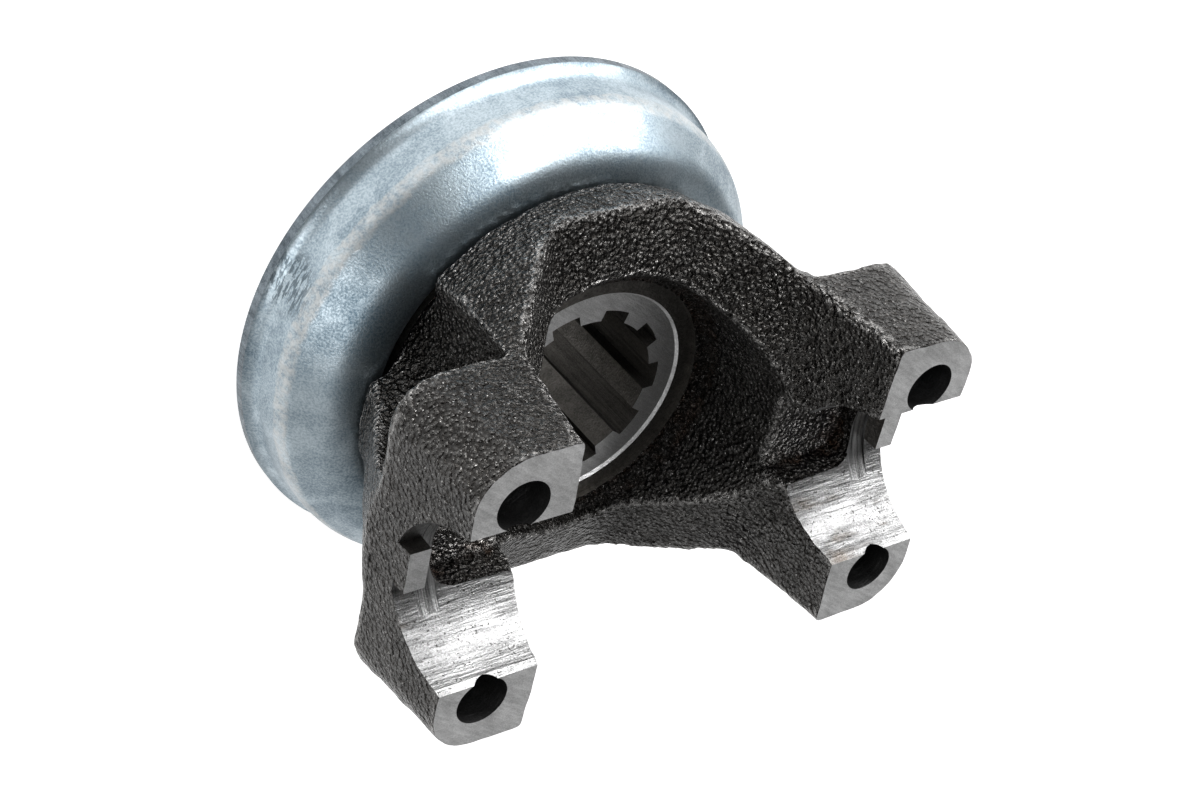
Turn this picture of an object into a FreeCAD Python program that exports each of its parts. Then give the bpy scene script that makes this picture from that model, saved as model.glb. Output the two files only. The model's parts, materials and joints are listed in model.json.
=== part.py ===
"""Pinion yoke: a cast steel half-round yoke with a stamped dust slinger pressed on its hub.

Frame: Z is the pinion's axis, with the hub's rear end face on z = 0 and the four machined
pads facing +Z. X is the axis of the two half-round seats that hold the cross of the joint.
Y runs from the lower pair of lugs to the upper pair. All lengths are in millimetres.
"""
import FreeCAD, Part
import math
import os

V = FreeCAD.Vector

# Overall layout
pad_height = 80.0            # hub's rear face to the plane of the four pads
mouth_height = 45.0          # hub's rear face to the machined face round the spline's mouth

# Half-round seats for the bearing cups of the cross
seat_radius = 13.5           # a 27 mm bearing cup
seat_lead = 0.42             # lead-in at the pads: extra half width there ...
seat_lead_depth = 1.0        # ... and how far down it reaches
tab_face_half_span = 40.3    # centre to the face that stops a cup from moving outwards
tab_half_width = 3.5
tab_front_drop = 10.3        # pad plane down to the front face of a tab
groove_width = 3.3           # undercut beside a tab, where the cutter ran out
groove_radius = 12.4
groove_drop = 1.5
pocket_half_width = 6.9      # rough pocket cast in the bottom of a seat
pocket_end = 37.6
pocket_depth = 17.2          # pad plane down to the pocket's floor
pocket_corner = 3.5

# Ears, drafted so that the flash line of the casting runs behind the pads
ear_inner = 25.9             # centre to the inboard edge of a pad
ear_outer = 42.6             # centre to the outboard edge of a pad
ear_inner_draft = 0.145      # mm of lean for each mm of depth
ear_outer_draft = 0.09
lug_half_width = 25.8        # Y reach of the lugs at the pads
lug_half_width_back = 26.2   # Y reach where the lugs end
lug_depth = 19.2             # pad plane down to the back of the lugs, where the nuts bear
lug_corner = 8.0             # outboard corner of a pad
lug_corner_back = 7.3
arm_side_draft = 0.26        # behind the lugs the arms narrow again
bolt_span_x = 70.0           # spacing of the U-bolt holes along the seats
bolt_span_y = 35.0           # spacing of the two legs of a U-bolt
bolt_hole_radius = 4.05
nut_face_radius = 11.4       # clearance cut behind each hole for the U-bolt's nut

# Round body between the arms
body_back = 38.0             # height of the body's back edge
body_back_radius = 33.0
body_front_radius = 35.2
body_front_height = 47.0
body_top_radius = 36.2       # level with the backs of the lugs
body_flat = 33.3             # Y reach of the flats at top and bottom of the body
body_edge = 1.4              # rounding of the body's back edge
flare_start_radius = 34.2    # the arms' backs flare out from here ...
flare_start_height = 42.0
flare_stop_radius = 45.0     # ... and end here, level with the backs of the lugs

# The open channel between the ears
channel_floor = 45.2         # floor height at the rim
channel_floor_half = 11.1
channel_slope_top = 58.5     # where the sloping side turns up into the ear
channel_fall = 0.34          # fall of the floor for each mm outwards along Y
channel_floor_round = 9.0
channel_side_round = 6.0

# Round bowl in the channel's floor
mouth_radius = 18.1          # machined face round the spline's mouth
mouth_step = 0.4
ring_radius = 20.9
bowl_floor_radius = 23.3
bowl_floor_height = 48.3
bowl_draft = 0.085

# Hub
journal_radius = 23.5        # ground track for the pinion's oil seal
journal_length = 22.0
journal_chamfer = 1.5
slinger_seat_radius = 25.6   # shoulder that the slinger is pressed on
slinger_seat_top = 35.0
hub_flare_radius = 30.0      # where the body's back meets the flare above the shoulder

# Spline
spline_teeth = 10
spline_major_radius = 15.1
spline_minor_radius = 13.3
spline_groove_width = 4.7
bore_chamfer = 1.0

# Dust slinger, one stamping of even thickness
sheet = 1.4
slinger_rim_radius = 43.25   # trimmed edge, cut along the pinion's axis
slinger_rim_back = 20.2      # height of the rear corner of the trimmed edge
slinger_flare_angle = 58.0   # lean of the flared rim from the pinion's axis
slinger_collar_bottom = 24.0
slinger_collar_top = 31.0    # where the collar bends out into the dish
slinger_dish_inner = 30.6    # radius where the dish levels out
slinger_dish_top = 37.5      # front of the dish
slinger_dish_outer = 35.6    # radius where the dish starts to fall
slinger_skirt_radius = 41.65 # outer radius of the skirt
slinger_shoulder = 30.2      # height where the dish meets the skirt
round_collar = 3.0
round_dish_inner = 4.0
round_dish_outer = 6.2
round_shoulder = 5.0
round_flare = 4.2


def corner_wire(points, radii, plane):
    """Closed wire through points given as (u, v), with each corner rounded by its radius.

    A radius of 0 leaves the corner sharp. Plane is a function that places (u, v) in space.
    """
    n = len(points)
    ends = []
    for i in range(n):
        here = V(*points[i], 0)
        back = V(*points[i - 1], 0) - here
        ahead = V(*points[(i + 1) % n], 0) - here
        back.normalize()
        ahead.normalize()
        half = back.getAngle(ahead) / 2
        reach = radii[i] / math.tan(half)
        middle = here
        if radii[i] > 0:
            toward = back + ahead
            toward.normalize()
            middle = here + toward * (radii[i] / math.sin(half) - radii[i])
        ends.append((here + back * reach, middle, here + ahead * reach, radii[i] > 0))
    edges = []
    for i in range(n):
        start, middle, stop, rounded = ends[i]
        if rounded:
            edges.append(Part.Arc(plane(start), plane(middle), plane(stop)).toShape())
        following = ends[(i + 1) % n][0]
        if (following - stop).Length > 1e-6:
            edges.append(Part.makeLine(plane(stop), plane(following)))
    return Part.Wire(edges)


def upright(point):
    """Places a point of a side section, (across, height), in the plane y = 0."""
    return V(point.x, 0, point.y)


def level(height):
    """Gives a function that places a plan point, (x, y), at this height."""
    return lambda point: V(point.x, point.y, height)


def turned(points, rounds=None):
    """Solid of revolution about Z from a closed section of (radius, height) points."""
    wire = corner_wire(points, rounds or [0] * len(points), upright)
    return Part.Face(wire).revolve(V(0, 0, 0), V(0, 0, 1), 360)


def both_sides(shape):
    """A shape and its copy turned half round the pinion's axis."""
    other = shape.copy()
    other.rotate(V(0, 0, 0), V(0, 0, 1), 180)
    return [shape, other]


def ear_outline(height, half_width, corner):
    """Plan outline of one ear at a height: straight inboard, rounded outboard, with draft."""
    outer = ear_outer + ear_outer_draft * (pad_height - height)
    points = [(0, -half_width), (outer, -half_width), (outer, half_width), (0, half_width)]
    return corner_wire(points, [0, corner, corner, 0], level(height))


def arm_blank():
    """One arm with its ear, before the channel, the seat and the nut clearances are cut."""
    lug_back = pad_height - lug_depth
    root_half_width = lug_half_width_back - arm_side_draft * (lug_back - body_back)
    front = ear_outline(pad_height, lug_half_width, lug_corner)
    back = ear_outline(lug_back, lug_half_width_back, lug_corner_back)
    root = ear_outline(body_back, root_half_width, lug_corner_back)
    arm = Part.makeLoft([front, back, root], True, True)
    clear = 2 * ear_outer
    flare = turned([
        (0, body_back), (body_back_radius, body_back), (flare_start_radius, flare_start_height),
        (flare_stop_radius, lug_back), (clear, lug_back), (clear, pad_height), (0, pad_height)])
    return arm.common(flare)


def body_blank():
    """The round body between the arms, with its two flats, up to the lugs' backs."""
    top = pad_height - lug_depth
    disc = turned([
        (0, slinger_seat_top), (slinger_seat_radius, slinger_seat_top), (hub_flare_radius, body_back),
        (body_back_radius, body_back), (body_front_radius, body_front_height),
        (body_top_radius, top), (0, top)], [0, 0, 0, body_edge, 0, 0, 0])
    flats = Part.makeBox(4 * body_flat, 2 * body_flat, 2 * pad_height, V(-2 * body_flat, -body_flat, 0))
    return disc.common(flats)


def hub():
    """Journal for the seal and the shoulder that carries the slinger."""
    return turned([
        (0, 0), (journal_radius - journal_chamfer, 0), (journal_radius, journal_chamfer),
        (journal_radius, journal_length), (slinger_seat_radius, journal_length),
        (slinger_seat_radius, slinger_seat_top), (0, slinger_seat_top)])


def channel_cut():
    """The channel between the ears: one section, carried outwards and down from the middle."""
    rise = channel_fall * body_flat
    floor_z = channel_floor + rise
    turn_z = channel_slope_top + rise
    turn_x = ear_inner - ear_inner_draft * (pad_height - turn_z)
    above = pad_height + mouth_height
    above_x = ear_inner + ear_inner_draft * (above - pad_height)
    points = [
        (-above_x, above), (-turn_x, turn_z), (-channel_floor_half, floor_z),
        (channel_floor_half, floor_z), (turn_x, turn_z), (above_x, above)]
    radii = [0, channel_side_round, channel_floor_round, channel_floor_round, channel_side_round, 0]
    section = Part.Face(corner_wire(points, radii, upright))
    reach = ear_outer
    halves = [section.extrude(V(0, side * reach, -channel_fall * reach)) for side in (-1, 1)]
    return halves[0].fuse(halves[1])


def bowl_cut():
    """The round bowl: machined mouth face, cast ring, sloping wall and drafted side."""
    top_radius = bowl_floor_radius + bowl_draft * (pad_height - bowl_floor_height)
    step_top = mouth_height + mouth_step
    return turned([
        (0, mouth_height), (mouth_radius, mouth_height), (mouth_radius + mouth_step, step_top),
        (ring_radius, step_top), (bowl_floor_radius, bowl_floor_height),
        (top_radius, pad_height), (0, pad_height)])


def seat_cut():
    """What is machined and cast away for one bearing cup, leaving the tab that stops it."""
    length = 2 * ear_outer
    axis = V(1, 0, 0)
    seat = Part.makeCylinder(seat_radius, length, V(0, 0, pad_height), axis)
    tab_top = pad_height - tab_front_drop
    tab = Part.makeBox(
        length, 2 * tab_half_width, seat_radius,
        V(tab_face_half_span, -tab_half_width, tab_top - seat_radius))
    groove = Part.makeCylinder(
        groove_radius, groove_width,
        V(tab_face_half_span - groove_width, 0, pad_height - groove_drop), axis)
    pocket_start = ear_inner / 2
    outline = corner_wire(
        [(pocket_start, -pocket_half_width), (pocket_end, -pocket_half_width),
         (pocket_end, pocket_half_width), (pocket_start, pocket_half_width)],
        [0, pocket_corner, pocket_corner, 0], level(pad_height - pocket_depth))
    pocket = Part.Face(outline).extrude(V(0, 0, pocket_depth - tab_front_drop))
    lead_top = seat_radius + seat_lead
    lead_foot = math.sqrt(seat_radius ** 2 - seat_lead_depth ** 2)
    lead_z = pad_height - seat_lead_depth
    outline = [
        V(0, -lead_top, pad_height), V(0, lead_top, pad_height),
        V(0, lead_foot, lead_z), V(0, -lead_foot, lead_z)]
    lead_in = Part.Face(Part.makePolygon(outline + outline[:1])).extrude(V(length, 0, 0))
    return [seat.cut(tab), groove, pocket, lead_in]


def bolt_holes():
    """Four through holes for the legs of the two U-bolts, each with room behind for its nut."""
    cuts = []
    clear_depth = pad_height - lug_depth - mouth_height / 2
    for x in (-bolt_span_x / 2, bolt_span_x / 2):
        for y in (-bolt_span_y / 2, bolt_span_y / 2):
            foot = V(x, y, mouth_height / 2)
            cuts.append(Part.makeCylinder(bolt_hole_radius, pad_height, foot))
            cuts.append(Part.makeCylinder(nut_face_radius, clear_depth, foot))
    return cuts


def spline_cut():
    """The splined bore: a round bore with straight-sided grooves, chamfered at the rear."""
    bore = Part.makeCylinder(spline_minor_radius, pad_height)
    envelope = Part.makeCylinder(spline_major_radius, pad_height)
    grooves = []
    for i in range(spline_teeth):
        groove = Part.makeBox(
            2 * spline_major_radius, spline_groove_width, pad_height, V(0, -spline_groove_width / 2, 0))
        groove.rotate(V(0, 0, 0), V(0, 0, 1), i * 360 / spline_teeth)
        grooves.append(groove.common(envelope))
    lead = spline_major_radius + bore_chamfer
    chamfer = Part.makeCone(lead, spline_minor_radius, lead - spline_minor_radius)
    return bore.multiFuse(grooves + [chamfer])


def make_yoke():
    """The casting with all its machined faces."""
    blank = body_blank().multiFuse([hub()] + both_sides(arm_blank())).removeSplitter()
    cuts = [channel_cut(), bowl_cut(), spline_cut()] + bolt_holes()
    for piece in seat_cut():
        cuts += both_sides(piece)
    yoke = blank
    for cut in cuts:
        yoke = yoke.cut(cut)
    return yoke.removeSplitter()


def make_slinger():
    """The slinger: the middle line of its section, thickened and turned about the pinion's axis."""
    half = sheet / 2
    collar = slinger_seat_radius + half
    dish = slinger_dish_top - half
    skirt = slinger_skirt_radius - half
    lean = math.radians(slinger_flare_angle)
    rim = slinger_rim_back + half / math.sin(lean)
    flare = rim + (slinger_rim_radius - skirt) / math.tan(lean)
    past_rim = slinger_rim_radius + sheet
    line = [
        (collar, slinger_collar_bottom), (collar, slinger_collar_top), (slinger_dish_inner, dish),
        (slinger_dish_outer, dish), (skirt, slinger_shoulder), (skirt, flare),
        (past_rim, rim - (past_rim - slinger_rim_radius) / math.tan(lean))]
    rounds = [0, round_collar, round_dish_inner, round_dish_outer, round_shoulder, round_flare, 0]
    left_rounds, right_rounds = [], []
    for i, middle_round in enumerate(rounds):
        change = turn_sense(line, i) * half
        left_rounds.append(middle_round - change if middle_round else 0)
        right_rounds.append(middle_round + change if middle_round else 0)
    points = offset_line(line, half) + offset_line(line, -half)[::-1]
    section = corner_wire(points, left_rounds + right_rounds[::-1], upright)
    pressing = Part.Face(section).revolve(V(0, 0, 0), V(0, 0, 1), 360)
    return pressing.common(Part.makeCylinder(slinger_rim_radius, pad_height))


def turn_sense(line, i):
    """+1 where a line turns left at its point i, -1 where it turns right, 0 at its ends."""
    if i == 0 or i == len(line) - 1:
        return 0
    before = V(*line[i], 0) - V(*line[i - 1], 0)
    after = V(*line[i + 1], 0) - V(*line[i], 0)
    return math.copysign(1, before.cross(after).z)


def offset_line(line, distance):
    """The points of an open line moved sideways by a distance to its left, with mitred corners."""
    moved = []
    for i in range(len(line)):
        normals = []
        for a, b in ((i - 1, i), (i, i + 1)):
            if a >= 0 and b < len(line):
                along = V(*line[b], 0) - V(*line[a], 0)
                along.normalize()
                normals.append(V(-along.y, along.x, 0))
        mean = normals[0] + normals[-1]
        mean.normalize()
        point = V(*line[i], 0) + mean * (distance / mean.dot(normals[0]))
        moved.append((point.x, point.y))
    return moved


def main():
    os.makedirs("parts", exist_ok=True)
    for name, shape in (("yoke_casting", make_yoke()), ("dust_slinger", make_slinger())):
        solid = shape.Solids[0] if len(shape.Solids) == 1 else shape
        print(name, "solids", len(shape.Solids), "valid", shape.isValid(), "volume", round(shape.Volume, 1))
        solid.exportStep("parts/" + name + ".step")


main()
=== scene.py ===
# %% [markdown]
# # A pinion yoke
# The real object is the steel end of a driveshaft joint. A rough casting carries four machined pads,
# two half-round seats for the bearing cups, and a splined hub. A thin zinc-plated dust slinger is
# pressed on the hub from behind. The scene loads the two CAD solids as a frame, gives each one a real
# surface, and lights them softly on a pale floor.

# %% Load the frame
import json
import math
import bmesh
import bpy
import numpy as np
from mathutils import Matrix, Vector

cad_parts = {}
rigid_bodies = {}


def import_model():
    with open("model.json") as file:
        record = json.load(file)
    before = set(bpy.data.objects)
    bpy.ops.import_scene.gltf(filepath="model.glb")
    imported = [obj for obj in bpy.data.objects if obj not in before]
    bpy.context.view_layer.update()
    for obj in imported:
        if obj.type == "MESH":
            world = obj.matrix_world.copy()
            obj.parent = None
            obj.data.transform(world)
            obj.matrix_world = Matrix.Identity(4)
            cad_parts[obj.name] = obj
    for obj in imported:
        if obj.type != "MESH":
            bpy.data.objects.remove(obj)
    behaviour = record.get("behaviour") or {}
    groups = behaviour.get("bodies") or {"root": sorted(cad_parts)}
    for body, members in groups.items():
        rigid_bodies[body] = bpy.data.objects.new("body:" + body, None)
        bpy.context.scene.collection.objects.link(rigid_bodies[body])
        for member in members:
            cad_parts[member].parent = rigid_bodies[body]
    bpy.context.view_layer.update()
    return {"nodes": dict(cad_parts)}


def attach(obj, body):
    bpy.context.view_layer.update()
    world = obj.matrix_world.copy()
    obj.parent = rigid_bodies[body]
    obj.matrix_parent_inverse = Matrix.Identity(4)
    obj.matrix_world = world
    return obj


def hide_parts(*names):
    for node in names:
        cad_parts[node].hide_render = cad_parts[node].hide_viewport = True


for leftover in list(bpy.data.objects):
    bpy.data.objects.remove(leftover)
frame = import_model()
MM = 0.001

# %% [markdown]
# ## Node wiring
# A material is a small network of nodes. One helper adds a node, sets its properties and fills its
# inputs, either with a plain value or with a wire from another node. That keeps each material short
# enough to read from top to bottom.

# %% Helpers for node trees
def put(tree, kind, inputs=None, **settings):
    """Adds a node to a tree. Settings are properties; an input takes a value or another socket."""
    node = tree.nodes.new(kind)
    for name, value in settings.items():
        setattr(node, name, value)
    for name, value in (inputs or {}).items():
        if isinstance(value, bpy.types.NodeSocket):
            tree.links.new(value, node.inputs[name])
        else:
            node.inputs[name].default_value = value
    return node


def maths(tree, operation, *values):
    """One arithmetic node; returns its output socket."""
    return put(tree, "ShaderNodeMath", dict(enumerate(values)), operation=operation).outputs[0]


def spread(tree, value, low, high, to_low=0.0, to_high=1.0):
    """Stretches a value from the range low..high to the range to_low..to_high, and stops there."""
    inputs = {"Value": value, "From Min": low, "From Max": high, "To Min": to_low, "To Max": to_high}
    return put(tree, "ShaderNodeMapRange", inputs, interpolation_type="SMOOTHSTEP").outputs[0]


def mixed(tree, amount, first, second):
    """Blends two colours: an amount of 0 gives the first one, 1 the second."""
    node = put(tree, "ShaderNodeMix", data_type="RGBA")
    for index, value in ((0, amount), (6, first), (7, second)):
        if isinstance(value, bpy.types.NodeSocket):
            tree.links.new(value, node.inputs[index])
        else:
            node.inputs[index].default_value = value
    return node.outputs[2]


def grey(level):
    """A colour with no tint."""
    return (level, level, level, 1.0)


print("node helpers ready")

# %% [markdown]
# ## Shared surface effects
# Three effects turn up on more than one finish. Grit is the fine grain of any metal surface. Streaks
# are the marks a tool leaves along its path. Patches are the slow drift of tone over a surface. Each
# is a node group with named inputs, built once and placed in the materials with its own values.

# %% The groups for grit, streaks and patches
def effect_group(name, numbers, outputs):
    """An empty shader group with a Vector input, number inputs and number outputs."""
    tree = bpy.data.node_groups.new(name, "ShaderNodeTree")
    tree.interface.new_socket("Vector", in_out="INPUT", socket_type="NodeSocketVector")
    for label, value in numbers.items():
        socket = tree.interface.new_socket(label, in_out="INPUT", socket_type="NodeSocketFloat")
        socket.default_value = value
    for label in outputs:
        tree.interface.new_socket(label, in_out="OUTPUT", socket_type="NodeSocketFloat")
    return tree, tree.nodes.new("NodeGroupInput").outputs, tree.nodes.new("NodeGroupOutput").inputs


def noise_of(tree, vector, scale, detail=2.0, roughness=0.5, distortion=0.0):
    """A noise texture's value, from 0 to 1."""
    inputs = {"Vector": vector, "Scale": scale, "Detail": detail, "Roughness": roughness,
              "Distortion": distortion}
    return put(tree, "ShaderNodeTexNoise", inputs, noise_dimensions="3D").outputs[0]


grit, given, out = effect_group("Metal grit", {"Scale": 2500.0}, ["Value"])
noise = noise_of(grit, given["Vector"], given["Scale"], 3.0, 0.65)
grit.links.new(spread(grit, noise, 0.3, 0.7), out["Value"])

stretches = {"Scale": 900.0, "Stretch X": 1.0, "Stretch Y": 1.0, "Stretch Z": 1.0}
streaks, given, out = effect_group("Tool streaks", stretches, ["Value"])
factors = put(streaks, "ShaderNodeCombineXYZ", {axis: given["Stretch " + axis] for axis in "XYZ"}).outputs[0]
stretching = {0: given["Vector"], 1: factors}
stretched = put(streaks, "ShaderNodeVectorMath", stretching, operation="MULTIPLY").outputs[0]
noise = noise_of(streaks, stretched, given["Scale"], 3.0, 0.6)
streaks.links.new(spread(streaks, noise, 0.32, 0.68), out["Value"])

patches, given, out = effect_group("Tone patches", {"Scale": 60.0}, ["Value"])
noise = noise_of(patches, given["Vector"], given["Scale"], 2.0, 0.5, 0.6)
patches.links.new(spread(patches, noise, 0.35, 0.65), out["Value"])
print("shared groups", [g.name for g in (grit, streaks, patches)])


def effect(tree, group, vector, **numbers):
    """Places one of the shared groups in a material and returns its value."""
    node = put(tree, "ShaderNodeGroup", {"Vector": vector}, node_tree=group)
    for label, value in numbers.items():
        node.inputs[label.replace("_", " ")].default_value = value
    return node.outputs[0]


def material(name):
    """A fresh material; returns it with its tree, its Principled node and Object coordinates."""
    made = bpy.data.materials.new(name)
    made.use_nodes = True
    tree = made.node_tree
    place = tree.nodes.new("ShaderNodeTexCoord").outputs["Object"]
    return made, tree, tree.nodes["Principled BSDF"], place

# %% [markdown]
# ## The skin of the casting
# The casting came out of sand and was blasted, so its skin is near black and covered in rounded
# pebbles a little under a millimetre across, whose crests catch the light; the crests are also painted
# lighter, with random painted glints, as painted highlight. Ridges are lighter, partly as wear and
# partly as a painted highlight, hollows get painted shade, and a little rust sits in hollows. The
# pebbles are a bump, because they are too small for the mesh. The light ridges, the painted shade in
# hollows and the painted light on the floors of the pockets come from attributes that the mesh carries.

# %% Cast skin
cast_skin, tree, shader, place = material("cast_skin")
ridge = put(tree, "ShaderNodeAttribute", attribute_name="ridge").outputs["Fac"]
grains = noise_of(tree, place, 1150.0, 2.0, 0.6, 0.0)
coarse = noise_of(tree, place, 520.0, 2.0, 0.5, 0.3)
fine = effect(tree, grit, place, Scale=3200.0)
tone = effect(tree, patches, place, Scale=95.0)
cells = {"Vector": place, "Scale": 1450.0, "Smoothness": 0.35}
pebble = put(tree, "ShaderNodeTexVoronoi", cells, feature="SMOOTH_F1").outputs["Distance"]
height = maths(tree, "MULTIPLY_ADD", coarse, 0.5, maths(tree, "MULTIPLY_ADD", fine, 0.05, grains))
height = maths(tree, "SUBTRACT", height, maths(tree, "MULTIPLY", pebble, 0.75))
# Pebble crests are painted lighter and random specks are painted as glints: painted highlight.
painted_crest_highlight = spread(tree, pebble, 0.58, 0.28)
glint = spread(tree, noise_of(tree, place, 2600.0, 1.0, 0.5, 0.0), 0.64, 0.74)
base = mixed(tree, tone, (0.022, 0.0205, 0.019, 1), (0.040, 0.0375, 0.035, 1))
base = mixed(tree, maths(tree, "MULTIPLY", painted_crest_highlight, 0.60), base, (0.12, 0.117, 0.113, 1))
base = mixed(tree, maths(tree, "MULTIPLY", glint, 0.6), base, (0.45, 0.44, 0.43, 1))
# Ridges are made lighter, partly as wear and partly as a painted highlight along the edges.
wear_and_edge_highlight = maths(tree, "MULTIPLY", spread(tree, ridge, 0.65, 1.3), spread(tree, grains, 0.42, 0.60))
base = mixed(tree, maths(tree, "MULTIPLY", wear_and_edge_highlight, 0.5), base, (0.42, 0.41, 0.40, 1))
# Hollows: painted shade darkens the skin in them, and rust is put in them as well.
hollow_shade_and_rust = spread(tree, maths(tree, "SUBTRACT", 0.0, ridge), 0.5, 1.3)
base = mixed(tree, maths(tree, "MULTIPLY", hollow_shade_and_rust, 0.4), base, (0.012, 0.011, 0.010, 1))
# The floors of the pockets are painted lighter: painted light on floors that lie in shade.
painted_pocket_light = put(tree, "ShaderNodeAttribute", attribute_name="painted_pocket_light").outputs["Fac"]
painted_pocket_light = maths(tree, "MULTIPLY", painted_pocket_light, spread(tree, grains, 0.40, 0.58, 0.3, 0.8))
base = mixed(tree, painted_pocket_light, base, (0.36, 0.35, 0.34, 1))
rusty = maths(tree, "MULTIPLY", hollow_shade_and_rust, effect(tree, patches, place, Scale=240.0))
base = mixed(tree, maths(tree, "MULTIPLY", rusty, 0.45), base, (0.075, 0.038, 0.020, 1))
tree.links.new(base, shader.inputs["Base Color"])
tree.links.new(spread(tree, fine, 0.0, 1.0, 0.20, 0.32), shader.inputs["Roughness"])
shader.inputs["Metallic"].default_value = 0.95
bump = put(tree, "ShaderNodeBump", {"Height": height, "Strength": 1.0, "Distance": 1.3 * MM})
tree.links.new(bump.outputs[0], shader.inputs["Normal"])
print("cast_skin has", len(tree.nodes), "nodes")

# %% [markdown]
# ## Machined steel
# The pads were milled, the seats bored, a groove turned beside each tab, the holes drilled, the hub
# turned and the spline broached. All are the same bare steel, but each tool left its own marks, so
# there is one recipe with different streaks, tone and roughness. Four masks are added up by shares:
# fine lines, grit, blotches and broad bands. Their sum picks the tone and the roughness. The broached
# tone is darker than the turned one, which paints shade into the spline's grooves.

# %% Machined finishes
def machined(name, tones, rough, marks, bands, depth, turn=0.0, stain=0.0, pits=0.0,
             shares=(0.24, 0.36, 0.12, 0.28)):
    """Bare steel between a dark and a light tone, with relief of the given depth in mm.

    Marks and bands are the streaks' scale and stretch along the cut, which is turned by some degrees
    about z. Stain and pits, from 0 to 1, add brown spots in the dark bands and small dark dots.
    """
    made, tree, shader, place = material(name)
    turned = {"Vector": place, "Rotation": (0, 0, math.radians(turn))}
    along_cut = put(tree, "ShaderNodeMapping", turned).outputs[0]
    lines = effect(tree, streaks, along_cut, **marks)
    fine = effect(tree, grit, place, Scale=3800.0)
    blotch = effect(tree, patches, along_cut, Scale=420.0)
    tone = effect(tree, streaks, along_cut, **bands)
    amount = 0.0
    for mask, share in zip((lines, fine, blotch, tone), shares):
        amount = maths(tree, "MULTIPLY_ADD", mask, share, amount)
    base = mixed(tree, amount, *tones)
    if stain:
        spots = effect(tree, patches, along_cut, Scale=120.0)
        spots = maths(tree, "MULTIPLY", spread(tree, tone, 0.35, 0.0), spots)
        base = mixed(tree, maths(tree, "MULTIPLY", spots, stain), base, (0.15, 0.12, 0.095, 1))
    if pits:
        dots = spread(tree, noise_of(tree, place, 2100.0, 1.0, 0.5), 0.36, 0.30)
        base = mixed(tree, maths(tree, "MULTIPLY", dots, pits), base, (0.03, 0.028, 0.026, 1))
    tree.links.new(base, shader.inputs["Base Color"])
    tree.links.new(spread(tree, amount, 0.0, 1.0, rough + 0.10, rough - 0.06), shader.inputs["Roughness"])
    shader.inputs["Metallic"].default_value = 1.0
    relief = maths(tree, "MULTIPLY_ADD", fine, 0.4, lines)
    bump = put(tree, "ShaderNodeBump", {"Height": relief, "Strength": 1.0, "Distance": depth * MM})
    tree.links.new(bump.outputs[0], shader.inputs["Normal"])
    return made


def warm(level):
    """A grey with a touch of brown, as oily steel has."""
    return (level, level * 0.95, level * 0.88, 1.0)


milled = machined("milled_steel", (grey(0.34), grey(0.80)), 0.44, {"Scale": 1700.0, "Stretch_X": 0.2},
                  {"Scale": 260.0, "Stretch_X": 0.5}, 0.03, turn=38.0)
bored = machined("bored_steel", (grey(0.03), grey(0.46)), 0.38, {"Scale": 1500.0, "Stretch_X": 0.10},
                 {"Scale": 270.0, "Stretch_X": 0.25}, 0.06, stain=0.5, pits=0.8,
                 shares=(0.16, 0.30, 0.10, 0.44))
grooved = machined("grooved_steel", (grey(0.01), grey(0.58)), 0.36,
                   {"Scale": 3200.0, "Stretch_Y": 0.04, "Stretch_Z": 0.04},
                   {"Scale": 1300.0, "Stretch_Y": 0.05, "Stretch_Z": 0.05}, 0.05,
                   shares=(0.45, 0.1, 0.0, 0.45))
tab_finish = machined("tab_steel", (warm(0.03), warm(0.22)), 0.40, {"Scale": 1500.0, "Stretch_X": 0.06},
                      {"Scale": 420.0, "Stretch_X": 0.15}, 0.06, stain=1.0)
drilled = machined("drilled_steel", (grey(0.02), grey(0.09)), 0.45,
                   {"Scale": 1200.0, "Stretch_X": 0.2, "Stretch_Y": 0.2},
                   {"Scale": 300.0, "Stretch_Z": 0.3}, 0.04)
turned_finish = machined("turned_steel", (warm(0.10), warm(0.36)), 0.42, {"Scale": 1900.0, "Stretch_Z": 2.0},
                         {"Scale": 260.0}, 0.03)
# The broached tone is darker than the turned lands' tone: painted shade in the spline's grooves.
broached = machined("broached_steel", (warm(0.05), warm(0.20)), 0.45, {"Scale": 1600.0, "Stretch_Z": 0.04},
                    {"Scale": 300.0, "Stretch_Z": 0.1}, 0.04)
finishes = [cast_skin, milled, bored, grooved, tab_finish, drilled, turned_finish, broached]
CAST, MILLED, BORED, GROOVED, TAB, DRILLED, TURNED, BROACHED = range(8)
print("finishes", [m.name for m in finishes])

# %% [markdown]
# ## From the CAD solid to a raw casting
# A foundry pours the part with extra metal wherever a tool will cut later. The copy of the solid gets
# the same allowance: every point on a machined face moves outwards by about a millimetre, and plugs
# close the drilled holes. Then a voxel remesh turns the whole into even small squares, which can be
# rounded and roughened like cast metal. All lengths in the table are in millimetres.

# %% Machining allowance
PAD_Z = 80.0
SEAT_R, SEAT_LEAD, LEAD_DEPTH = 13.5, 0.42, 1.0
TAB_X, TAB_Y, TAB_Z = 40.3, 3.5, 69.7
GROOVE_X, GROOVE_R, GROOVE_Z = 37.0, 12.4, 78.5
BOLT_X, BOLT_Y, BOLT_R = 35.0, 17.5, 4.05
MOUTH_R, MOUTH_Z, MOUTH_STEP, MOUTH_RING = 18.1, 45.0, 0.4, 21.1
SPLINE_MAJOR, SPLINE_MINOR, SPLINE_HALF, TEETH = 15.1, 13.3, 2.35, 10
JOURNAL_R, JOURNAL_L, JOURNAL_EDGE = 23.5, 22.0, 1.5
SHOULDER_R, SHOULDER_Z = 25.6, 35.0
ALLOWANCE = 1.1
PLUG_R, PLUG_Z = 5.4, 62.5


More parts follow.
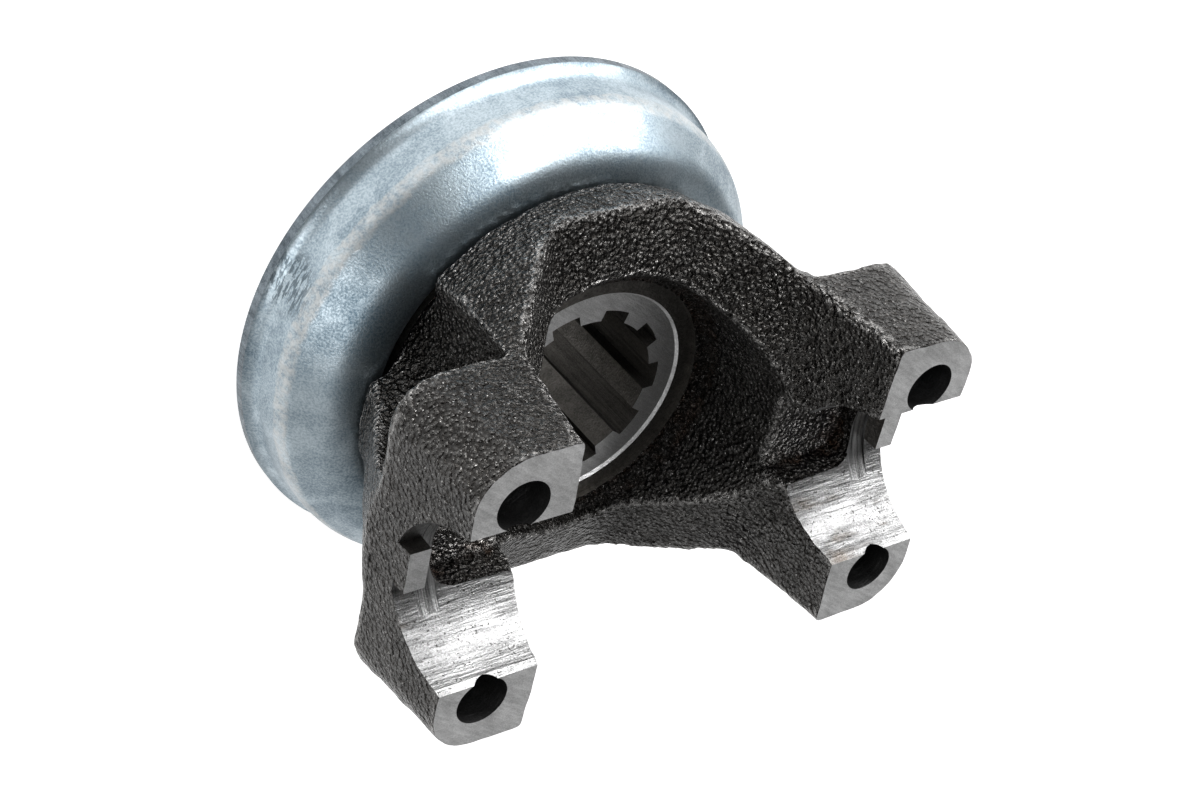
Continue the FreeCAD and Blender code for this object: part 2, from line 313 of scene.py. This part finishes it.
def with_allowance(points):
    """Points in mm, moved out of the metal where they lie on a machined face."""
    p = points.copy()
    x, y, z = points.T
    near = 0.04
    side = np.sign(x)

    def about(u, v, centre_u, centre_v, chosen, radius, first, second):
        """Puts the chosen points at a new radius about an axis, keeping their angle."""
        du, dv = u - centre_u, v - centre_v
        r = np.maximum(np.hypot(du, dv), 1e-6)
        p[chosen, first] = (centre_u + du / r * radius)[chosen]
        p[chosen, second] = (centre_v + dv / r * radius)[chosen]

    seat = (np.abs(np.hypot(y, z - PAD_Z) - SEAT_R) < near) & (np.abs(x) > 20)
    about(y, z, 0, PAD_Z, seat, SEAT_R - ALLOWANCE, 1, 2)
    groove = (np.abs(np.hypot(y, z - GROOVE_Z) - GROOVE_R) < near) & (np.abs(x) > GROOVE_X - near)
    groove &= np.abs(x) < TAB_X + near
    about(y, z, 0, GROOVE_Z, groove, GROOVE_R - ALLOWANCE, 1, 2)
    tab = (np.abs(x) > TAB_X - near) & (np.abs(y) < TAB_Y + near) & (z < TAB_Z + near) & (z > 66)
    p[tab & (z > TAB_Z - near), 2] += ALLOWANCE
    p[tab, 1] += (np.sign(y) * ALLOWANCE)[tab]
    wall = tab & (np.abs(np.abs(x) - TAB_X) < near)
    p[wall, 0] -= (side * ALLOWANCE)[wall]
    p[z > PAD_Z - near, 2] += ALLOWANCE
    cx, cy = BOLT_X * side, BOLT_Y * np.sign(y)
    from_bolt = np.hypot(x - cx, y - cy)
    hole = (np.abs(from_bolt - BOLT_R) < near) & (np.abs(x) > 20) & (z < PLUG_Z)
    about(x, y, cx, cy, hole, BOLT_R - ALLOWANCE, 0, 1)
    r = np.hypot(x, y)
    mouth = (r < MOUTH_R + near) & (np.abs(z - MOUTH_Z) < near)
    p[mouth, 2] += ALLOWANCE
    band = (r < MOUTH_RING) & (np.abs(z - MOUTH_Z - MOUTH_STEP) < near)
    p[band, 2] += ALLOWANCE / 2
    bore = (r < SPLINE_MAJOR + 1.2) & (z < MOUTH_Z + near)
    about(x, y, 0, 0, bore, SPLINE_MINOR - ALLOWANCE, 0, 1)
    hub = (r > 20) & (r < SHOULDER_R + near) & (z < SHOULDER_Z + near)
    about(x, y, 0, 0, hub, r + ALLOWANCE, 0, 1)
    p[z < near, 2] -= ALLOWANCE
    return p


print("allowance", ALLOWANCE, "mm on every machined face")

# %% Raw block from the solid
def read_points(mesh):
    """All points of a mesh as a table, in mm."""
    table = np.empty(len(mesh.vertices) * 3)
    mesh.vertices.foreach_get("co", table)
    return table.reshape(-1, 3) / MM


def write_points(mesh, points):
    """Puts a table of points in mm back into a mesh."""
    mesh.vertices.foreach_set("co", (points * MM).ravel())
    mesh.update()


def evaluated(obj):
    """The mesh of an object with its modifiers worked in."""
    graph = bpy.context.evaluated_depsgraph_get()
    return bpy.data.meshes.new_from_object(obj.evaluated_get(graph))


def link(name, data):
    """A new object in the scene, at the origin, for a mesh, a lamp or a camera."""
    obj = bpy.data.objects.new(name, data)
    bpy.context.scene.collection.objects.link(obj)
    return obj


def ring(radius, centre=(0.0, 0.0), count=96):
    """Points on a circle: centre + radius (cos t, sin t), t going once round."""
    t = np.linspace(0, 2 * math.pi, count, endpoint=False)
    return np.stack((centre[0] + radius * np.cos(t), centre[1] + radius * np.sin(t)), 1)


def bar(start, stop, outline, axis="z", far_outline=None):
    """A closed bar: an outline at start, joined by flat strips to the same or another one at stop."""
    far = outline if far_outline is None else far_outline
    n = len(outline)
    ends = []
    for along, (u, v) in ((start, outline.T), (stop, far.T)):
        w = np.full(n, float(along))
        ends.append(np.stack((w, u, v) if axis == "x" else (u, v, w), 1))
    i = np.arange(n)
    j = (i + 1) % n
    walls = np.stack((i, j, j + n, i + n), 1).tolist()
    return np.concatenate(ends), [list(range(n))[::-1], list(range(n, 2 * n))] + walls


def solid_mesh(name, solids):
    """One mesh from several closed solids, each given as points in mm and faces."""
    faces, base = [], 0
    for solid_points, solid_faces in solids:
        faces += [[v + base for v in face] for face in solid_faces]
        base += len(solid_points)
    mesh = bpy.data.meshes.new(name)
    mesh.from_pydata((np.concatenate([s[0] for s in solids]) * MM).tolist(), [], faces)
    return mesh


def joined(first, second):
    """The faces of two meshes in one new mesh."""
    both = bmesh.new()
    both.from_mesh(first)
    both.from_mesh(second)
    both.to_mesh(first)
    both.free()
    bpy.data.meshes.remove(second)
    return first


VOXEL = 0.58 * MM
raw = link("yoke_body", frame["nodes"]["yoke_casting"].data.copy())
weld = raw.modifiers.new("weld", "WELD")
weld.merge_threshold = 0.002 * MM
raw.data = evaluated(raw)
raw.modifiers.clear()
write_points(raw.data, with_allowance(read_points(raw.data)))
corners = [(sx * BOLT_X, sy * BOLT_Y) for sx in (-1, 1) for sy in (-1, 1)]
plugs = [bar(PLUG_Z, PAD_Z + ALLOWANCE, ring(PLUG_R, c, 48)) for c in corners]
raw.data = joined(raw.data, solid_mesh("plugs", plugs))
remesh = raw.modifiers.new("remesh", "REMESH")
remesh.mode = "VOXEL"
remesh.voxel_size = VOXEL
raw.data = evaluated(raw)
raw.modifiers.clear()
print("raw block", len(raw.data.vertices), "points", len(raw.data.polygons), "faces")

# %% [markdown]
# ## Rounding and roughening
# Sand moulds leave no sharp corner, so the block is relaxed: each point moves toward the mean of its
# neighbours. Where a point sticks out from a much more relaxed copy, it lies on a ridge, and where it
# sinks in, it lies in a hollow. That number is kept for the material, which lightens ridges as wear and
# painted highlight, and puts painted shade and rust in hollows. Last, a smooth
# random field pushes the skin in and out by about a tenth of a millimetre.

# %% Relax and displace
def relaxed(points, edges, rounds, strength=0.5):
    """Each round moves every point part of the way to the mean of its neighbours."""
    count = np.bincount(edges.ravel(), minlength=len(points))[:, None]
    first, second = edges.T
    for _ in range(rounds):
        total = np.empty_like(points)
        for k in range(3):
            total[:, k] = np.bincount(first, points[second, k], len(points))
            total[:, k] += np.bincount(second, points[first, k], len(points))
        points = points + strength * (total / count - points)
    return points


CELLS = 40
LATTICE = np.random.default_rng(7).uniform(-1, 1, (CELLS, CELLS, CELLS))


def lumps(points, size):
    """A smooth random field: lattice values this far apart, blended by the curve 3t^2 - 2t^3."""
    cell = points / size + 17.3
    corner = np.floor(cell).astype(int)
    t = cell - corner
    t = t * t * (3 - 2 * t)
    total = np.zeros(len(points))
    for step in np.ndindex(2, 2, 2):
        i, j, k = ((corner + step) % CELLS).T
        share = np.prod(np.where(np.array(step, bool), t, 1 - t), axis=1)
        total += LATTICE[i, j, k] * share
    return total


def normals_of(mesh):
    """The direction in which each point of a mesh faces."""
    table = np.empty(len(mesh.vertices) * 3)
    mesh.vertex_normals.foreach_get("vector", table)
    return table.reshape(-1, 3)


edges = np.empty(len(raw.data.edges) * 2, int)
raw.data.edges.foreach_get("vertices", edges)
edges = edges.reshape(-1, 2)
points = relaxed(read_points(raw.data), edges, 5)
write_points(raw.data, points)
normals = normals_of(raw.data)
stands_out = ((points - relaxed(points, edges, 30)) * normals).sum(1)
ridge_amount = np.clip(stands_out / 0.24, -1.5, 1.5)
rough_field = 0.10 * lumps(points, 5.2) + 0.09 * lumps(points, 2.4) + 0.10 * lumps(points + 9, 1.35)
points = points + normals * (rough_field - 0.04)[:, None]
write_points(raw.data, points)
layer = raw.data.attributes.new("ridge", "FLOAT", "POINT")
layer.data.foreach_set("value", ridge_amount.astype(np.float32))
x, y, z = np.abs(points.T)
# The floors of the pockets, which get painted light in the skin's colour.
pocket_floor = (x > 23) & (x < 38) & (y < 6.5) & (z < 66) & (normals[:, 2] > 0.6)
layer = raw.data.attributes.new("painted_pocket_light", "FLOAT", "POINT")
layer.data.foreach_set("value", pocket_floor.astype(np.float32))
print("ridge from", round(float(stands_out.min()), 2), "to", round(float(stands_out.max()), 2), "mm")

# %% [markdown]
# ## Machining
# Each cut is the shape that the tool sweeps: a slab over the pads, bars for the seats, rods for the
# holes, a splined rod for the bore and a turned ring round the hub. A Boolean takes it away, and the
# cut face gets the finish of that tool, with a crisp edge against the rough skin as on the real part.

# %% Shapes that the tools sweep
def turned_ring(section, count=192):
    """A closed ring: a section of (radius r, height z) turned about z, x = r cos t, y = r sin t."""
    r, z = np.array(section, float).T
    t = np.linspace(0, 2 * math.pi, count, endpoint=False)[:, None]
    points = np.stack((r * np.cos(t), r * np.sin(t), np.broadcast_to(z, (count, len(z)))), 2).reshape(-1, 3)
    m = len(r)
    a = np.arange(count)[:, None] * m
    b = (np.arange(count)[:, None] + 1) % count * m
    k = np.arange(m)
    k2 = (k + 1) % m
    faces = np.stack((a + k, b + k, b + k2, a + k2), 2).reshape(-1, 4).tolist()
    return points, faces


def cut(obj, finish, *solids):
    """Takes closed solids, which don't touch each other, away from obj; cut faces get the finish."""
    mesh = solid_mesh("tool", solids)
    for finish_material in finishes:
        mesh.materials.append(finish_material)
    mesh.polygons.foreach_set("material_index", np.full(len(mesh.polygons), finish))
    tool = link("tool", mesh)
    boolean = obj.modifiers.new("cut", "BOOLEAN")
    boolean.operation = "DIFFERENCE"
    boolean.solver = "MANIFOLD"
    boolean.object = tool
    before = obj.data
    obj.data = evaluated(obj)
    obj.modifiers.clear()
    bpy.data.meshes.remove(before)
    bpy.data.objects.remove(tool)
    return obj


def on_both_sides(start, stop, outline):
    """The same bar along x on the right and on the left."""
    return bar(start, stop, outline, "x"), bar(-stop, -start, outline, "x")


print("tool shapes ready")

# %% Cut the pads, the seats and the holes
raw.data.materials.clear()
for finish_material in finishes:
    raw.data.materials.append(finish_material)
slab = np.array([(-55.0, -35.0), (55.0, -35.0), (55.0, 35.0), (-55.0, 35.0)])
cut(raw, MILLED, bar(PAD_Z, PAD_Z + 6, slab))
lead_z, above_z = PAD_Z - LEAD_DEPTH, PAD_Z + LEAD_DEPTH
foot = math.sqrt(SEAT_R ** 2 - LEAD_DEPTH ** 2)
brim = 2 * (SEAT_R + SEAT_LEAD) - foot
wedge = np.array([(-foot, lead_z), (foot, lead_z), (brim, above_z), (-brim, above_z)])
cut(raw, BORED, *on_both_sides(18, 55, wedge))
cut(raw, BORED, *on_both_sides(18, TAB_X, ring(SEAT_R, (0, PAD_Z), 128)))
low = math.asin(TAB_Y / SEAT_R)
sweep = np.linspace(low - math.pi / 2, 1.5 * math.pi - low, 120)
notched = np.stack((SEAT_R * np.cos(sweep), PAD_Z + SEAT_R * np.sin(sweep)), 1)
notched = np.concatenate((notched, [(-TAB_Y, TAB_Z), (TAB_Y, TAB_Z)]))
cut(raw, BORED, *on_both_sides(TAB_X - 1, 55, notched))
cut(raw, GROOVED, *on_both_sides(GROOVE_X, TAB_X, ring(GROOVE_R, (0, GROOVE_Z), 128)))
cut(raw, DRILLED, *[bar(50, 90, ring(BOLT_R, c)) for c in corners])
print("after the pads, seats and holes", len(raw.data.polygons), "faces")

# %% Cut the bore, the spline and the hub
centre = np.arange(TEETH)[:, None] * 2 * math.pi / TEETH
inner, outer = math.asin(SPLINE_HALF / SPLINE_MINOR), math.asin(SPLINE_HALF / SPLINE_MAJOR)
land = np.linspace(inner - 2 * math.pi / TEETH, -inner, 9)
floor_arc = np.linspace(-outer, outer, 9)
angles = np.concatenate((centre + land, centre + floor_arc), 1).ravel()
reach = np.tile(np.repeat((SPLINE_MINOR, SPLINE_MAJOR), 9), TEETH)
splined = np.stack((reach * np.cos(angles), reach * np.sin(angles)), 1)
cut(raw, BROACHED, bar(MOUTH_Z + MOUTH_STEP, MOUTH_Z + 4, ring(MOUTH_RING, count=160)))
step_outline = ring(MOUTH_R + 2 * MOUTH_STEP, count=160)
cut(raw, MILLED, bar(MOUTH_Z, MOUTH_Z + 2 * MOUTH_STEP, ring(MOUTH_R, count=160), far_outline=step_outline))
cut(raw, TURNED, bar(-4, MOUTH_Z + 4, splined))
cut(raw, TURNED, bar(-3, 2.8, ring(SPLINE_MAJOR + 4.0, count=160), far_outline=ring(SPLINE_MINOR, count=160)))
cut(raw, TURNED, bar(-6, 0, ring(40, count=64)))
cut(raw, TURNED, turned_ring([
    (JOURNAL_R - JOURNAL_EDGE - 3, -3), (60, -3), (60, SHOULDER_Z), (SHOULDER_R, SHOULDER_Z),
    (SHOULDER_R, JOURNAL_L), (JOURNAL_R, JOURNAL_L), (JOURNAL_R, JOURNAL_EDGE)]))
print("after the hub", len(raw.data.polygons), "faces")

# %% Give the tabs and the spline's grooves their own finish
def centres_and_normals(mesh):
    """Tables of the faces' centres in mm and of their normals."""
    centre = np.empty(len(mesh.polygons) * 3)
    facing = np.empty(len(mesh.polygons) * 3)
    mesh.polygons.foreach_get("center", centre)
    mesh.polygons.foreach_get("normal", facing)
    return centre.reshape(-1, 3) / MM, facing.reshape(-1, 3)


finish = np.empty(len(raw.data.polygons), int)
raw.data.polygons.foreach_get("material_index", finish)
centre, facing = centres_and_normals(raw.data)
x, y, z = np.abs(centre.T)
on_tab = (finish == BORED) & (x > TAB_X - 0.1) & (y < TAB_Y + 0.1)
finish[on_tab] = TAB
finish[on_tab & (facing[:, 2] > 0.9)] = MILLED
from_axis = np.hypot(x, y)
in_groove = (finish == TURNED) & (from_axis > SPLINE_MINOR + 0.2) & (from_axis < SPLINE_MAJOR + 0.1)
# The grooves' floors get the darker broached tone, which is painted shade.
finish[in_groove & (z < MOUTH_Z - 0.1)] = BROACHED
raw.data.polygons.foreach_set("material_index", finish)
print("faces on the tabs", int((finish == TAB).sum()), "broached", int((finish == BROACHED).sum()))

# %% [markdown]
# ## Crisp and soft edges
# The cast skin is shaded smooth. Where a cut meets the skin, or two cuts meet at a steep angle, the
# edge is marked sharp, so that light breaks there as on a freshly cut edge.

# %% Mark the sharp edges
def mark_sharp(mesh, angle, soft=None):
    """Sharp where two finishes meet, or where faces not of the soft finish turn by more than the angle."""
    count = len(mesh.polygons)
    finish = np.empty(count, int)
    mesh.polygons.foreach_get("material_index", finish)
    facing = np.empty(count * 3)
    mesh.polygons.foreach_get("normal", facing)
    facing = facing.reshape(-1, 3)
    corner_edge = np.empty(len(mesh.loops), int)
    mesh.loops.foreach_get("edge_index", corner_edge)
    sizes = np.empty(count, int)
    mesh.polygons.foreach_get("loop_total", sizes)
    owner = np.repeat(np.arange(count), sizes)
    order = np.argsort(corner_edge, kind="stable")
    sorted_edges, sorted_owner = corner_edge[order], owner[order]
    same = sorted_edges[1:] == sorted_edges[:-1]
    edge, a, b = sorted_edges[1:][same], sorted_owner[:-1][same], sorted_owner[1:][same]
    turn = (facing[a] * facing[b]).sum(1)
    hard = (finish[a] != finish[b]) | ((finish[a] != soft) & (turn < math.cos(angle)))
    sharp = np.zeros(len(mesh.edges), bool)
    sharp[edge[hard]] = True
    mesh.polygons.foreach_set("use_smooth", np.ones(count, bool))
    layer = mesh.attributes.get("sharp_edge") or mesh.attributes.new("sharp_edge", "BOOLEAN", "EDGE")
    layer.data.foreach_set("value", sharp)
    mesh.update()
    return int(hard.sum())


print("sharp edges", mark_sharp(raw.data, math.radians(28), soft=CAST))
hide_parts("yoke_casting")
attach(raw, "root")
raw.data.calc_loop_triangles()
print("yoke triangles", len(raw.data.loop_triangles), "ridge kept", "ridge" in raw.data.attributes)

# %% [markdown]
# ## The dust slinger
# The slinger is one sheet of steel, drawn into a dish, with a skirt and a flared rim. Its section is
# a middle line with rounded bends, given half the sheet's thickness to each side and turned about
# the pinion's axis. The outer edge was trimmed straight along the axis, which leaves a sheared band.

# %% Section of the slinger
SHEET = 1.4
RIM_R, RIM_BACK, FLARE_LEAN = 43.25, 20.2, math.radians(58.0)
SKIRT = 41.65 - SHEET / 2
DISH_Z = 37.5 - SHEET / 2
COLLAR = SHOULDER_R + SHEET / 2
RIM_Z = RIM_BACK + SHEET / 2 / math.sin(FLARE_LEAN)
FLARE_Z = RIM_Z + (RIM_R - SKIRT) / math.tan(FLARE_LEAN)
END_Z = RIM_Z - SHEET / math.tan(FLARE_LEAN)
middle_line = [(COLLAR, 24.0), (COLLAR, 31.0), (30.6, DISH_Z), (35.6, DISH_Z), (SKIRT, 30.2),
               (SKIRT, FLARE_Z), (RIM_R + SHEET, END_Z)]
bend_radii = [0, 3.0, 4.0, 6.2, 5.0, 4.2, 0]


def bent_line(corners, radii, per_bend=14):
    """A line through corners with each bend an arc that touches both sides; returns points, normals."""
    c = np.array(corners, float)
    points, ways = [c[0]], [c[1] - c[0]]
    for i in range(1, len(c) - 1):
        back, ahead = c[i - 1] - c[i], c[i + 1] - c[i]
        back, ahead = back / np.linalg.norm(back), ahead / np.linalg.norm(ahead)
        half = math.acos(back @ ahead) / 2
        hub_point = c[i] + (back + ahead) / np.linalg.norm(back + ahead) * radii[i] / math.sin(half)
        start = c[i] + back * radii[i] / math.tan(half)
        turn = np.sign(back[1] * ahead[0] - back[0] * ahead[1])
        t = np.linspace(0, turn * (math.pi - 2 * half), per_bend)
        spoke = start - hub_point
        cos_t, sin_t = np.cos(t), np.sin(t)
        arc = np.stack((spoke[0] * cos_t - spoke[1] * sin_t, spoke[0] * sin_t + spoke[1] * cos_t), 1)
        points += list(hub_point + arc)
        ways += list(np.stack((-arc[:, 1], arc[:, 0]), 1) * turn)
    points.append(c[-1])
    ways.append(c[-1] - c[-2])
    points, ways = np.array(points), np.array(ways)
    ways /= np.linalg.norm(ways, axis=1)[:, None]
    return points, np.stack((-ways[:, 1], ways[:, 0]), 1)


def trimmed(side):
    """An offset line cut off where it first reaches the rim's radius."""
    first = int(np.argmax(side[:, 0] > RIM_R))
    before, past = side[first - 1], side[first]
    share = (RIM_R - before[0]) / (past[0] - before[0])
    return np.concatenate((side[:first], [before + share * (past - before)]))


line, across = bent_line(middle_line, bend_radii)
front = trimmed(line - across * SHEET / 2)
rear = trimmed(line + across * SHEET / 2)
print("section has", len(front) + len(rear), "points; rim at", front[-1].round(2), rear[-1].round(2))

# %% [markdown]
# ## Zinc plate
# The plate is a cool grey with a fine grain and soft clouds. A paler band with a peeling edge runs
# round the top of the skirt, and one scuffed patch lies on the left. The trimmed edge is bare steel.

# %% Zinc plate and trimmed edge
zinc, tree, shader, place = material("zinc_plate")
fine = effect(tree, grit, place, Scale=3000.0)
cloud = effect(tree, patches, place, Scale=42.0)
small_cloud = effect(tree, patches, place, Scale=210.0)
parts = put(tree, "ShaderNodeSeparateXYZ", {"Vector": place})
level = put(tree, "ShaderNodeCombineXYZ", {"X": parts.outputs[0], "Y": parts.outputs[1]}).outputs[0]
radius = put(tree, "ShaderNodeVectorMath", {0: level}, operation="LENGTH").outputs["Value"]
wobble = maths(tree, "MULTIPLY_ADD", maths(tree, "SUBTRACT", small_cloud, 0.5), 0.5 * MM, parts.outputs[2])
band_low = spread(tree, wobble, 28.2 * MM, 28.7 * MM)
band_high = spread(tree, wobble, 30.9 * MM, 31.6 * MM, 1.0, 0.0)
outside = spread(tree, radius, 37.5 * MM, 38.0 * MM)
band = maths(tree, "MULTIPLY", maths(tree, "MULTIPLY", band_low, band_high), outside)
clouds = maths(tree, "MULTIPLY_ADD", cloud, 0.30, maths(tree, "MULTIPLY", small_cloud, 0.25))
tone = maths(tree, "MULTIPLY_ADD", fine, 0.45, clouds)
base = mixed(tree, tone, (0.09, 0.14, 0.18, 1), (0.50, 0.575, 0.62, 1))
peel = noise_of(tree, place, 900.0, 3.0, 0.6)
peeled = maths(tree, "MULTIPLY", band, spread(tree, peel, 0.35, 0.65, 0.1, 0.5))
base = mixed(tree, peeled, base, (0.55, 0.53, 0.50, 1))
ends = {0: place, 1: (-0.0394, 0.0159, 0.0245)}
from_scuff = put(tree, "ShaderNodeVectorMath", ends, operation="DISTANCE").outputs["Value"]
scratches = effect(tree, streaks, place, Scale=2300.0, Stretch_X=0.5, Stretch_Y=0.12)
near_scuff = spread(tree, from_scuff, 3.0 * MM, 6.0 * MM, 1.0, 0.0)
scuff = maths(tree, "MULTIPLY", near_scuff, spread(tree, scratches, 0.30, 0.70))
base = mixed(tree, maths(tree, "MULTIPLY", scuff, 0.75), base, (0.05, 0.07, 0.085, 1))
tree.links.new(base, shader.inputs["Base Color"])
tree.links.new(spread(tree, tone, 0.0, 1.0, 0.46, 0.32), shader.inputs["Roughness"])
shader.inputs["Metallic"].default_value = 1.0
relief = maths(tree, "MULTIPLY_ADD", maths(tree, "MULTIPLY", band, peel), 3.0, fine)
bump = put(tree, "ShaderNodeBump", {"Height": relief, "Strength": 1.0, "Distance": 0.013 * MM})
tree.links.new(bump.outputs[0], shader.inputs["Normal"])
sheared = machined("sheared_edge", ((0.02, 0.03, 0.04, 1), (0.24, 0.28, 0.31, 1)), 0.42,
                   {"Scale": 1500.0, "Stretch_Z": 0.10}, {"Scale": 200.0}, 0.05)
print("zinc_plate has", len(zinc.node_tree.nodes), "nodes")

# %% Turn the slinger
STEPS = 256
points, faces = turned_ring(np.concatenate((front, rear[::-1])), STEPS)
mesh = bpy.data.meshes.new("slinger")
mesh.from_pydata((points * MM).tolist(), [], faces)
mesh.materials.append(zinc)
mesh.materials.append(sheared)
strip = np.tile(np.arange(len(front) + len(rear)), STEPS)
mesh.polygons.foreach_set("material_index", (strip == len(front) - 1).astype(int))
slinger = link("slinger", mesh)
print("slinger faces", len(faces), "sharp edges", mark_sharp(mesh, math.radians(40)))
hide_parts("dust_slinger")
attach(slinger, "root")

# %% [markdown]
# ## Floor and world
# The part stands on its hub on a pale floor. The floor and the world show as white to the camera and
# in reflections, and the floor still darkens where the part shades it. The world lights the part
# weakly, and only from the side that is up in the photograph and, less, from the side that is down.

# %% Floor and world
def backdrop_shader(tree, diffuse, lift):
    """A diffuse surface that adds its own glow for camera, glossy and transmission rays only."""
    seen = put(tree, "ShaderNodeLightPath")
    rays = maths(tree, "MAXIMUM", seen.outputs["Is Camera Ray"], seen.outputs["Is Transmission Ray"])
    rays = maths(tree, "MAXIMUM", rays, seen.outputs["Is Glossy Ray"])
    surface = put(tree, "ShaderNodeBsdfDiffuse", {"Color": grey(diffuse)}).outputs[0]
    strength = maths(tree, "MULTIPLY", rays, lift)
    glow = put(tree, "ShaderNodeEmission", {"Color": grey(1.0), "Strength": strength}).outputs[0]
    return put(tree, "ShaderNodeAddShader", {0: surface, 1: glow}).outputs[0]


floor_paint = bpy.data.materials.new("floor_paint")
floor_paint.use_nodes = True
tree = floor_paint.node_tree
tree.nodes.remove(tree.nodes["Principled BSDF"])
tree.links.new(backdrop_shader(tree, 0.8, 0.75), tree.nodes["Material Output"].inputs["Surface"])
wide = 6.0
mesh = bpy.data.meshes.new("floor")
mesh.from_pydata([(-wide, -wide, 0), (wide, -wide, 0), (wide, wide, 0), (-wide, wide, 0)], [], [(0, 1, 2, 3)])
mesh.materials.append(floor_paint)
floor = link("floor", mesh)

world = bpy.data.worlds.new("studio")
bpy.context.scene.world = world
world.use_nodes = True
tree = world.node_tree
seen = put(tree, "ShaderNodeLightPath")
direction = put(tree, "ShaderNodeTexCoord").outputs["Generated"]
upward = {0: direction, 1: (0.0, 0.95, -0.31)}
height = put(tree, "ShaderNodeVectorMath", upward, operation="DOT_PRODUCT").outputs["Value"]
steep = put(tree, "ShaderNodeSeparateXYZ", {"Vector": direction}).outputs[2]
above = spread(tree, height, 0.45, 0.85, 0.0, 0.50)
below = spread(tree, maths(tree, "SUBTRACT", 0.0, height), 0.10, 0.60, 0.0, 0.6)
below = maths(tree, "MULTIPLY", below, spread(tree, steep, 0.60, 0.85, 1.0, 0.0))
sky = maths(tree, "ADD", maths(tree, "ADD", above, below), 0.07)
level = maths(tree, "MAXIMUM", seen.outputs["Is Camera Ray"], sky)
tree.links.new(level, tree.nodes["Background"].inputs["Strength"])
tree.nodes["Background"].inputs["Color"].default_value = grey(1.0)
print("floor and world ready")

# %% [markdown]
# ## Lamps
# Four softboxes face the part. The key light and a wide, low one stand on the side that is up in the
# photograph, and give the seats and the plate their broad highlights. Two weaker ones light the
# flanks from the right and the left.

# %% Softboxes
def softbox(name, place, target, size, power):
    """A rectangular area lamp at a place, turned to face a target; all in metres and watts."""
    lamp = bpy.data.lights.new(name, "AREA")
    lamp.shape = "RECTANGLE"
    lamp.size, lamp.size_y = size
    lamp.energy = power
    obj = link(name, lamp)
    obj.location = place
    obj.rotation_euler = (Vector(target) - Vector(place)).to_track_quat("-Z", "Y").to_euler()
    return obj


heart = (0.0, 0.0, 0.045)
softbox("key_softbox", (0.09, 0.55, 0.46), heart, (0.30, 0.30), 2.2)
softbox("right_softbox", (0.50, 0.37, 0.32), heart, (0.20, 0.24), 1.4)
softbox("left_softbox", (-0.68, 0.06, 0.36), heart, (0.30, 0.45), 1.8)
softbox("overhead_softbox", (0.34, 0.66, 0.15), heart, (0.60, 0.22), 5.2)

# %% [markdown]
# ## Camera
# The camera was fitted to the pads, the holes, the mouth of the spline and the rim of the slinger in
# the photograph. Its three directions are what lies to its right, below it and ahead of it.

# %% Camera at the angle of the photograph
right = Vector((0.81328412, 0.18318752, 0.55227825))
down = Vector((-0.21819705, -0.78387144, 0.5813223))
forward = Vector((0.53940614, -0.59328568, -0.59753922))
camera = bpy.data.cameras.new("camera")
camera.sensor_width = 36.0
camera.lens = 69.25
camera.clip_start = 0.01
view = link("camera", camera)
turn = Matrix((right, -down, -forward)).transposed()
view.matrix_world = Matrix.Translation((-0.18246, 0.20391, 0.25280)) @ turn.to_4x4()
bpy.context.scene.camera = view
print("camera at", tuple(round(v, 3) for v in view.location))

# %% [markdown]
# ## View transform
# The render uses the Standard view transform, and the view layer is brought up to date.

# %% Set the view transform
bpy.context.scene.view_settings.view_transform = "Standard"
bpy.context.view_layer.update()
